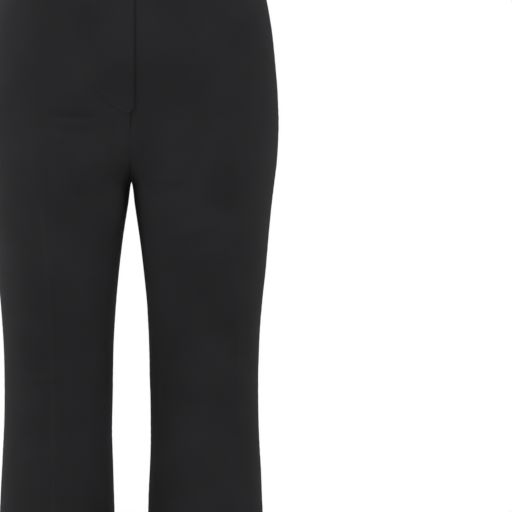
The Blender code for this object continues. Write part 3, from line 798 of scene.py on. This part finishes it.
def band_cloth(side):
    """Half the waistband, from its end at centre front round the side to centre back."""
    start = -LAP_WIDTH if side == RIGHT else -UNDERLAP
    outer, inner, flat = [], [], []
    for z in WAIST_TOP + (WAISTBAND_SEAM - WAIST_TOP) * spread(BAND_ROWS):
        points, normals, places = [], [], []
        for face, begin, groove in ((FRONT, start, BAND_END_ROLL), (BACK, 0.0, BAND_BACK_GROOVE)):
            turn = np.linspace(turn_at_x(face, begin, z), 1.0, 3 * DENSE)
            length = run_length(form_point(face, turn, np.full(3 * DENSE, z)))
            place = length[-1] * spread(BAND_COLUMNS[face])
            turn = np.interp(place, length, turn)
            level = np.full(len(place), z)
            point = form_point(face, turn, level)
            normal = form_normal(face, turn, level)
            lift = (band_offset(side, point[:, 0]) if face == FRONT else BAND_PROUD) + ridge(groove, place)
            order = slice(None) if face == FRONT else slice(-2, None, -1)
            points.append((point + normal * lift[:, None])[order])
            normals.append(normal[order])
            places.append((face * (length[-1] - place))[order])
        points, normals, places = (np.concatenate(part) for part in (points, normals, places))
        top = bell(z - WAIST_TOP, BAND_TOP_REACH)
        foot = bell(z - WAISTBAND_SEAM, BAND_FOOT_REACH)
        wave = BAND_WAVE * np.sin(places / BAND_WAVE_RUN + side)
        wave += BAND_RIPPLE * np.sin(places / BAND_RIPPLE_RUN - 4 * z / WAISTBAND_SEAM)
        points = points + normals * (wave - BAND_ROLL * (top + foot))[:, None]
        thick = BAND_CLOTH - BAND_THIN_TOP * top + BAND_THICK_FOOT * foot
        outer.append(points)
        inner.append(points - normals * thick)
        flat.append(places)
    outer, inner, flat = np.array(outer), np.array(inner), np.array(flat)
    for grid in (outer, inner):
        grid[..., 0] = (grid[..., 0] - SEAM_LAP / 2) * side
    return outer, inner, flat


# ---------- places on the front
def front_place(side, x, z, lift):
    """A frame on one half's front: X across to the wearer's left, Y up the cloth, Z out of it."""
    turn = turn_at_x(FRONT, x, z)
    point = form_point(FRONT, turn, z)
    normal = form_normal(FRONT, turn, z)
    spot = point + normal * lift
    outward = Vector((normal[0] * side, normal[1], normal[2]))
    across = Vector((1.0, 0.0, 0.0))
    up = outward.cross(across).normalized()
    across = up.cross(outward).normalized()
    place = Matrix((across, up, outward)).transposed().to_4x4()
    place.translation = Vector((spot[0] * side, spot[1], spot[2]))
    return place


def join_loops(build, loops):
    """Close a row of loops of points into a solid, with a flat cap at each end."""
    count = len(loops[0])
    for low, high in zip(loops, loops[1:]):
        for i in range(count):
            j = (i + 1) % count
            build.faces.new((low[i], low[j], high[j], high[i]))
    build.faces.new(loops[0][::-1])
    build.faces.new(loops[-1])


def add_tube(build, path, radius, sides=6):
    """Add a closed thread along a path of points, thin at both ends."""
    rings = []
    for i, point in enumerate(path):
        tangent = (path[min(i + 1, len(path) - 1)] - path[max(i - 1, 0)]).normalized()
        across = tangent.orthogonal().normalized()
        up = tangent.cross(across)
        share = i / (len(path) - 1)
        size = radius * (0.35 + 0.65 * math.sin(math.pi * share) ** 0.5)
        turns = [2 * math.pi * k / sides for k in range(sides)]
        rings.append([build.verts.new(point + (across * math.cos(t) + up * math.sin(t)) * size) for t in turns])
    join_loops(build, rings)


def finish_build(name, build, smooth=math.radians(50)):
    """Turn what was built into an object, smooth but for its sharp edges."""
    bmesh.ops.recalc_face_normals(build, faces=build.faces)
    mesh = bpy.data.meshes.new(name)
    build.to_mesh(mesh)
    build.free()
    mesh.shade_smooth()
    mesh.set_sharp_from_angle(angle=smooth)
    return add_object(name, mesh)


def fly_stitches():
    """The J-shaped row of stitches on the lap, each a short thread bedded in the cloth."""
    curve = fly_curve()
    length = run_length(curve)
    build = bmesh.new()
    pitch = STITCH + STITCH_SPACE
    for start in np.arange(0.5 * pitch, length[-1] - pitch, pitch):
        path = []
        for share in np.linspace(0, 1, 5):
            along = start + STITCH * share
            x = np.interp(along, length, curve[:, 0])
            z = np.interp(along, length, curve[:, 1])
            lap = LAP_LIFT * (1 - ramp(abs(x), FLY_WIDTH / 2, FLY_WIDTH))
            rise = lap - STITCH_BED + STITCH_RISE * math.sin(math.pi * share)
            path.append(front_place(RIGHT, x, z, float(rise)).translation)
        add_tube(build, path, THREAD)
    return finish_build("fly_stitching", build)


def buttonhole_stitches():
    """A worked buttonhole: close bars of thread round a slit, with bar tacks at its ends."""
    x = BUTTON_X - HOLE_SHIFT
    place = front_place(RIGHT, x, BUTTON_Z, float(band_offset(RIGHT, x)) + HOLE_LIFT)
    build = bmesh.new()
    for side in (-1, 1):
        for along in np.arange(-HOLE_HALF, HOLE_HALF, HOLE_PITCH):
            path = []
            for share in np.linspace(0, 1, 4):
                y = side * (HOLE_SLIT + (HOLE_REACH - HOLE_SLIT) * share)
                path.append(place @ Vector((along, y, HOLE_RISE * math.sin(math.pi * share))))
            add_tube(build, path, HOLE_THREAD, 5)
    for end in (-1, 1):
        for past in HOLE_TACKS:
            along = end * (HOLE_HALF + past)
            path = [place @ Vector((along, HOLE_REACH * y, TACK_THREAD * (1 - y * y))) for y in np.linspace(-1, 1, 6)]
            add_tube(build, path, TACK_THREAD, 5)
    return finish_build("buttonhole_stitching", build)


# ---------- button and zip
def button_place():
    """The button's frame, on the waistband's outer end."""
    return front_place(RIGHT, BUTTON_X, BUTTON_Z, float(band_offset(RIGHT, BUTTON_X)) + BUTTON_LIFT)


def make_button():
    """A turned button with a dished face and four holes."""
    mesh = bpy.data.meshes.new("button_turned")
    edges = [(i, i + 1) for i in range(len(BUTTON_PROFILE) - 1)]
    mesh.from_pydata([(r * MM, 0.0, h * MM) for r, h in BUTTON_PROFILE], edges, [])
    button = add_object("button_turned", mesh)
    button.matrix_world = button_place()
    turned = button.modifiers.new("turned", "SCREW")
    turned.steps = BUTTON_STEPS
    turned.render_steps = BUTTON_STEPS
    turned.use_merge_vertices = True
    turned.merge_threshold = 1e-5
    button.modifiers.new("weld", "WELD").merge_threshold = 1e-5
    tools = []
    for index in range(4):
        angle = math.pi / 4 + index * math.pi / 2
        middle = Vector((math.cos(angle), math.sin(angle), 0.0)) * EYE_SPREAD
        build = bmesh.new()
        size = {"radius1": EYE_RADIUS, "radius2": EYE_RADIUS, "depth": 10 * MM}
        bmesh.ops.create_cone(build, cap_ends=True, segments=20, **size)
        tool = finish_build(f"hole_tool_{index}", build)
        tool.matrix_world = button.matrix_world @ Matrix.Translation(middle)
        cut = button.modifiers.new("hole", "BOOLEAN")
        cut.operation = "DIFFERENCE"
        cut.object = tool
        tools.append(tool)
    bpy.context.view_layer.update()
    seen = button.evaluated_get(bpy.context.evaluated_depsgraph_get())
    button.data = bpy.data.meshes.new_from_object(seen)
    button.modifiers.clear()
    button.data.shade_smooth()
    button.data.set_sharp_from_angle(angle=math.radians(40))
    for tool in tools:
        bpy.data.objects.remove(tool, do_unlink=True)
    return button


def button_thread():
    """Threads through the button's two pairs of holes, sunk into it at both ends."""
    place = button_place()
    build = bmesh.new()
    half = EYE_SPREAD / math.sqrt(2)
    for row in (-half, half):
        for nudge in EYE_THREADS:
            path = []
            for share in np.linspace(0, 1, 9):
                height = EYE_DEPTH + EYE_RISE * math.sin(math.pi * share) ** 0.45
                path.append(place @ Vector((half * (2 * share - 1), row + nudge, height)))
            add_tube(build, path, EYE_THREAD)
    return finish_build("button_thread", build)


def behind_front(x, z, depth):
    """Points at x, on either side of the centre, at a depth below the front's form."""
    turn = turn_at_x(FRONT, np.abs(x), z)
    point = form_point(FRONT, turn, z) - form_normal(FRONT, turn, z) * depth[..., None]
    point[..., 0] = np.where(x < 0, -point[..., 0], point[..., 0])
    return point


def shield_cloth():
    """The guard behind the zip: a doubled cloth with a turned edge and its lower corner cut away in a curve."""
    heights = STACK_TOP + (SHIELD_END - STACK_TOP) * spread(STRIP_ROWS)
    edge = SHIELD_LEFT + SHIELD_CORNER * ramp(heights, SHIELD_END + 2 * SHIELD_CORNER, SHIELD_END)
    across = spread(SHIELD_COLUMNS)
    x = edge[:, None] + (SHIELD_RIGHT - edge[:, None]) * across
    z = heights[:, None] + 0 * x
    from_edge = x - edge[:, None]
    slack = SHIELD_SLACK * np.sin(z / SHIELD_SLACK_RUN + 9 * across) * ramp(from_edge, 0, SHIELD_CORNER)
    roll = ridge(SHIELD_ROLL, from_edge) + ridge(SHIELD_STITCHING, from_edge - SHIELD_STITCHING_OFF)
    outer = behind_front(x, z, SHIELD_DEPTH + slack + roll)
    inner = behind_front(x, z, SHIELD_DEPTH + SHIELD_THICK + slack - roll)
    return outer, inner, x, z


def tape_cloth():
    """The zip's tape, with a cord along each side of the chain and its lower end tucked under the lap's end."""
    heights = np.linspace(STACK_TOP, TAPE_END, STRIP_ROWS)
    x = TAPE_LEFT + (TAPE_RIGHT - TAPE_LEFT) * spread(TAPE_COLUMNS) + 0 * heights[:, None]
    z = heights[:, None] + 0 * x
    cord = bell(np.abs(x - CHAIN_X) - TAPE_CORD_OFF, TAPE_CORD_WIDTH)
    selvedge = bell(x - TAPE_LEFT, SELVEDGE_WIDTH) + bell(x - TAPE_RIGHT, SELVEDGE_WIDTH)
    outer = behind_front(x, z, TAPE_DEPTH + TAPE_CORD * (selvedge - cord))
    inner = behind_front(x, z, TAPE_DEPTH + TAPE_THICK - TAPE_CORD * selvedge)
    return outer, inner, x, z


def zip_coil():
    """The closed chain's coil: a row of small bent loops, one over the other from each side."""
    build = bmesh.new()
    for index, z in enumerate(np.arange(CHAIN_TOP, TAPE_END + CHAIN_STOP, -COIL_PITCH / 2)):
        side = 1 if index % 2 else -1
        place = front_place(RIGHT, CHAIN_X, z, -CHAIN_DEPTH)
        path = []
        for share in np.linspace(0, 1, 7):
            angle = math.pi * share
            across = side * (COIL_OFF - COIL_REACH * math.cos(angle))
            path.append(place @ Vector((across, 0.0, COIL_RISE * math.sin(angle))))
        add_tube(build, path, COIL_THREAD, 5)
    return finish_build("zip_coil", build)


def add_plate(build, outline, low, high, place):
    """Add a flat plate with rounded rims: an outline in a frame, from a low to a high level."""
    rim = min(0.3 * (high - low), 0.15 * MM)
    middle = Vector((sum(p[0] for p in outline), sum(p[1] for p in outline))) / len(outline)
    loops = []
    for level, pull in ((low, rim), (low + rim, 0.0), (high - rim, 0.0), (high, rim)):
        loop = []
        for x, y in outline:
            inward = (middle - Vector((x, y))).normalized() * pull
            loop.append(build.verts.new(place @ Vector((x + inward.x, y + inward.y, level))))
        loops.append(loop)
    join_loops(build, loops)


def rounded_outline(top, waist, foot, length, steps=10):
    """A plate's outline: widths at the top, waist and foot, with rounded ends."""
    right = []
    for share in np.linspace(0, 1, 4 * steps):
        y = length * (0.5 - share)
        width = np.interp(share, (0.0, 0.45, 1.0), (top, waist, foot)) / 2
        end = min(share, 1 - share) / 0.16
        right.append((float(width * math.sqrt(max(0.04, 1 - max(0.0, 1 - end) ** 2))), y))
    return right + [(-x, y) for x, y in right[::-1]]


def slider_metal():
    """The slider: two plates round the chain, the post between them, the bridge, and the tab locked down."""
    build = bmesh.new()
    wide, tall, deep = SLIDER_SIZE
    place = front_place(RIGHT, CHAIN_X, SLIDER_Z, -SLIDER_DEPTH)
    outline = rounded_outline(wide, 0.92 * wide, 0.72 * wide, tall)
    add_plate(build, outline, -SLIDER_PLATE, 0.0, place)
    add_plate(build, outline, -deep, SLIDER_PLATE - deep, place)
    post = [(x * 0.34, tall * 0.3 + y * 0.34) for x, y in rounded_outline(wide, 0.8 * wide, 0.2 * wide, tall)]
    add_plate(build, post, SLIDER_PLATE - deep, -SLIDER_PLATE, place)
    bridge = []
    for share in np.linspace(0, 1, 14):
        rise = BRIDGE_RISE * (math.sin(math.pi * share) ** 0.5 - 0.25)
        bridge.append(place @ Vector((0.0, tall * (0.38 - 0.62 * share), rise)))
    add_tube(build, bridge, BRIDGE_THREAD, 8)
    wide, tall, deep = TAB_SIZE
    place = front_place(RIGHT, CHAIN_X, TAB_Z, -SLIDER_DEPTH + 0.05 * MM)
    add_plate(build, rounded_outline(0.8 * wide, 0.62 * wide, wide, tall), -0.5 * deep, 0.5 * deep, place)
    grip = [(x, y - 0.28 * tall) for x, y in rounded_outline(0.55 * wide, 0.55 * wide, 0.55 * wide, 0.3 * tall)]
    add_plate(build, grip, 0.45 * deep, 0.62 * deep, place)
    return finish_build("zip_slider_cast", build, math.radians(35))


# ---------- materials
def new_material(name):
    """A material, with its node tree and its shader."""
    material = bpy.data.materials.new(name)
    material.use_nodes = True
    return material, material.node_tree, material.node_tree.nodes["Principled BSDF"]


def math_node(tree, operation, *values):
    """The outcome of a sum on numbers or on other nodes' outputs."""
    node = tree.nodes.new("ShaderNodeMath")
    node.operation = operation
    for socket, value in zip(node.inputs, values):
        if isinstance(value, (int, float)):
            socket.default_value = value
        else:
            tree.links.new(value, socket)
    return node.outputs[0]


def noise_node(tree, scale, detail):
    """Noise laid out in the object's own space."""
    place = tree.nodes.new("ShaderNodeTexCoord")
    noise = tree.nodes.new("ShaderNodeTexNoise")
    noise.inputs["Scale"].default_value = scale
    noise.inputs["Detail"].default_value = detail
    tree.links.new(place.outputs["Object"], noise.inputs["Vector"])
    return noise.outputs["Fac"]


def colour_node(tree, shader, share, dark, light, start=0.0):
    """Colour the surface from dark to light by a share."""
    colour = tree.nodes.new("ShaderNodeValToRGB")
    colour.color_ramp.elements[0].position = start
    colour.color_ramp.elements[0].color = (*dark, 1)
    colour.color_ramp.elements[1].color = (*light, 1)
    tree.links.new(share, colour.inputs[0])
    tree.links.new(colour.outputs[0], shader.inputs["Base Color"])


def bump_node(tree, shader, height, strength, distance):
    """Roughen the surface's normal by a height."""
    bump = tree.nodes.new("ShaderNodeBump")
    bump.inputs["Strength"].default_value = strength
    bump.inputs["Distance"].default_value = distance
    tree.links.new(height, bump.inputs["Height"])
    tree.links.new(bump.outputs[0], shader.inputs["Normal"])


def suiting_material(name, dark, light, twill):
    """Smooth near-black suiting: fine diagonal weave, faint unevenness, a soft nap and pressed-in shine."""
    material, tree, shader = new_material(name)
    flat = tree.nodes.new("ShaderNodeUVMap")
    flat.uv_map = "flat"
    split = tree.nodes.new("ShaderNodeSeparateXYZ")
    tree.links.new(flat.outputs[0], split.inputs[0])
    waves = []
    for operation, pitch in (("ADD", twill), ("SUBTRACT", THREAD_SHARE * twill)):
        diagonal = math_node(tree, operation, split.outputs[0], split.outputs[1])
        wave = math_node(tree, "MULTIPLY", diagonal, 2 * math.pi / pitch)
        waves.append(math_node(tree, "SINE", wave))
    weave = math_node(tree, "MULTIPLY_ADD", waves[1], 0.35, waves[0])
    cloud = noise_node(tree, 14.0, 3.0)
    nap = noise_node(tree, 900.0, 2.0)

    tone = math_node(tree, "MULTIPLY_ADD", weave, 0.12, cloud)
    grain = math_node(tree, "MULTIPLY_ADD", nap, 0.35, tone)
    colour_node(tree, shader, grain, dark, light, 0.35)

    press = tree.nodes.new("ShaderNodeAttribute")
    press.attribute_name = "press"
    rough = tree.nodes.new("ShaderNodeMapRange")
    rough.inputs["To Min"].default_value = UNPRESSED_ROUGHNESS
    rough.inputs["To Max"].default_value = PRESSED_ROUGHNESS
    tree.links.new(press.outputs["Fac"], rough.inputs["Value"])
    mottled = math_node(tree, "MULTIPLY_ADD", cloud, 0.08, rough.outputs[0])
    tree.links.new(mottled, shader.inputs["Roughness"])
    bump_node(tree, shader, math_node(tree, "ADD", weave, nap), 0.35, 0.12 * MM)
    shader.inputs["Specular IOR Level"].default_value = SUITING_SPECULAR
    shader.inputs["Sheen Weight"].default_value = SUITING_SHEEN
    shader.inputs["Sheen Roughness"].default_value = 0.5
    shader.inputs["Sheen Tint"].default_value = (0.9, 0.92, 1.0, 1.0)
    return material


def plain_material(name, colour, roughness, metallic=0.0, speckle=0.0, scale=400.0, specular=0.5):
    """A small part's finish: one colour broken up by fine noise, with a matching bump."""
    material, tree, shader = new_material(name)
    noise = noise_node(tree, scale, 3.0)
    dark = [c * (1 - speckle) for c in colour]
    light = [min(1.0, c * (1 + speckle)) for c in colour]
    colour_node(tree, shader, noise, dark, light)
    rough = math_node(tree, "MULTIPLY_ADD", noise, 2 * ROUGHNESS_SPREAD, roughness - ROUGHNESS_SPREAD)
    tree.links.new(rough, shader.inputs["Roughness"])
    bump_node(tree, shader, noise, 0.2, 0.08 * MM)
    shader.inputs["Metallic"].default_value = metallic
    shader.inputs["Specular IOR Level"].default_value = specular
    return material


# ---------- stage
def make_camera():
    """Straight from the front, far off, framed as the photograph."""
    side = PHOTO_SIDE * METRES_PER_PIXEL
    x = (PHOTO_SIDE / 2 - PHOTO_CENTRE_X) * METRES_PER_PIXEL
    z = CROTCH - (PHOTO_SIDE / 2 - PHOTO_CROTCH_Y) * METRES_PER_PIXEL
    data = bpy.data.cameras.new("camera")
    data.sensor_width = SENSOR
    data.lens = SENSOR * CAMERA_DISTANCE / side
    data.clip_end = 100.0
    camera = add_object("camera", data)
    camera.location = (x, -CAMERA_DISTANCE, z)
    camera.rotation_euler = (math.pi / 2, 0.0, 0.0)
    bpy.context.scene.camera = camera


def make_light(lamp):
    """A soft rectangular lamp, turned towards its aim."""
    data = bpy.data.lights.new(lamp.name, "AREA")
    data.shape = "RECTANGLE"
    data.size, data.size_y = lamp.size
    data.energy = lamp.power
    light = add_object(lamp.name, data)
    light.location = lamp.place
    light.rotation_euler = (Vector(lamp.aim) - Vector(lamp.place)).to_track_quat("-Z", "Y").to_euler()


def make_stage():
    """A white surround, the lamps and a plain pale floor."""
    world = bpy.data.worlds.new("studio")
    world.use_nodes = True
    world.node_tree.nodes["Background"].inputs[0].default_value = (1.0, 1.0, 1.0, 1.0)
    world.node_tree.nodes["Background"].inputs[1].default_value = 1.0
    bpy.context.scene.world = world
    bpy.context.scene.view_settings.view_transform = "Standard"
    for lamp in LAMPS:
        make_light(lamp)
    build = bmesh.new()
    bmesh.ops.create_circle(build, cap_ends=True, segments=96, radius=FLOOR_RADIUS)
    floor = finish_build("floor", build)
    floor.location.z = HEM - HEM_DROP_BACK - FLOOR_BELOW_HEM
    floor.data.materials.append(plain_material("floor_paint", FLOOR_WHITE, 0.7, speckle=0.02, scale=3.0))


# ---------- assembly
def place_piece(piece, material, nodes=()):
    """Give a piece its material and body, and hide the solids it replaces."""
    piece.data.materials.clear()
    piece.data.materials.append(material)
    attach(piece, "root")
    if nodes:
        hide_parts(*nodes)
    return piece


def dress_button(thread):
    """The button, its thread and its buttonhole."""
    resin = plain_material("button_resin", RESIN, 0.30, speckle=0.5, scale=260.0)
    place_piece(buttonhole_stitches(), thread)
    place_piece(make_button(), resin, ["button"])
    place_piece(button_thread(), thread)


def dress_waistband(word, side, suiting):
    """One half of the waistband."""
    outer, inner, flat = band_cloth(side)
    band = shell_object(f"waistband_{word}_cloth", outer, inner, outer[..., 2], flat * side, 0 * flat)
    place_piece(band, suiting, [f"waistband_{word}"])
    return band


def dress_panel(name, face, side, suiting):
    """One leg panel, attached to the root body."""
    outer, inner, u, v, press = panel_cloth(name, face, side)
    panel = shell_object(f"{name}_cloth", outer, inner, u, v, press)
    place_piece(panel, suiting, [name])


def dress_strip(name, cloth, material, node):
    """A strip behind the fly, attached to the root body."""
    outer, inner, u, v = cloth
    strip = shell_object(name, outer, inner, u, v, 0 * u)
    place_piece(strip, material, [node])
    size = [float(run_length(grid)[:, -1].max()) for grid in (outer, outer.swapaxes(0, 1))]
    return strip


def main():
    """Dress every solid of the frame."""
    make_camera()
    make_stage()
    suiting = suiting_material("suiting", SUITING_DARK, SUITING_LIGHT, SUITING_TWILL)
    thread = plain_material("black_thread", THREAD_BLACK, 0.5, speckle=0.3, scale=3000.0, specular=0.2)
    weave = suiting_material("zip_tape_weave", TAPE_DARK, TAPE_LIGHT, TAPE_TWILL)
    metal = plain_material("dark_plate", PLATE, 0.36, metallic=1.0, speckle=0.15, scale=700.0)
    plastic = plain_material("coil_plastic", COIL_BLACK, 0.35, speckle=0.1)
    stitches = place_piece(fly_stitches(), thread)
    dress_button(thread)
    bands = {word: dress_waistband(word, side, suiting) for word, side in SIDES.items()}
    for face_word, face in FACES.items():
        for word, side in SIDES.items():
            name = f"{face_word}_{word}"
            dress_panel(name, face, side, suiting)
    shield = dress_strip("fly_shield_cloth", shield_cloth(), suiting, "fly_shield")
    dress_strip("zip_tape_woven", tape_cloth(), weave, "zip_tape")
    place_piece(zip_coil(), plastic)
    place_piece(slider_metal(), metal, ["zip_slider"])


main()
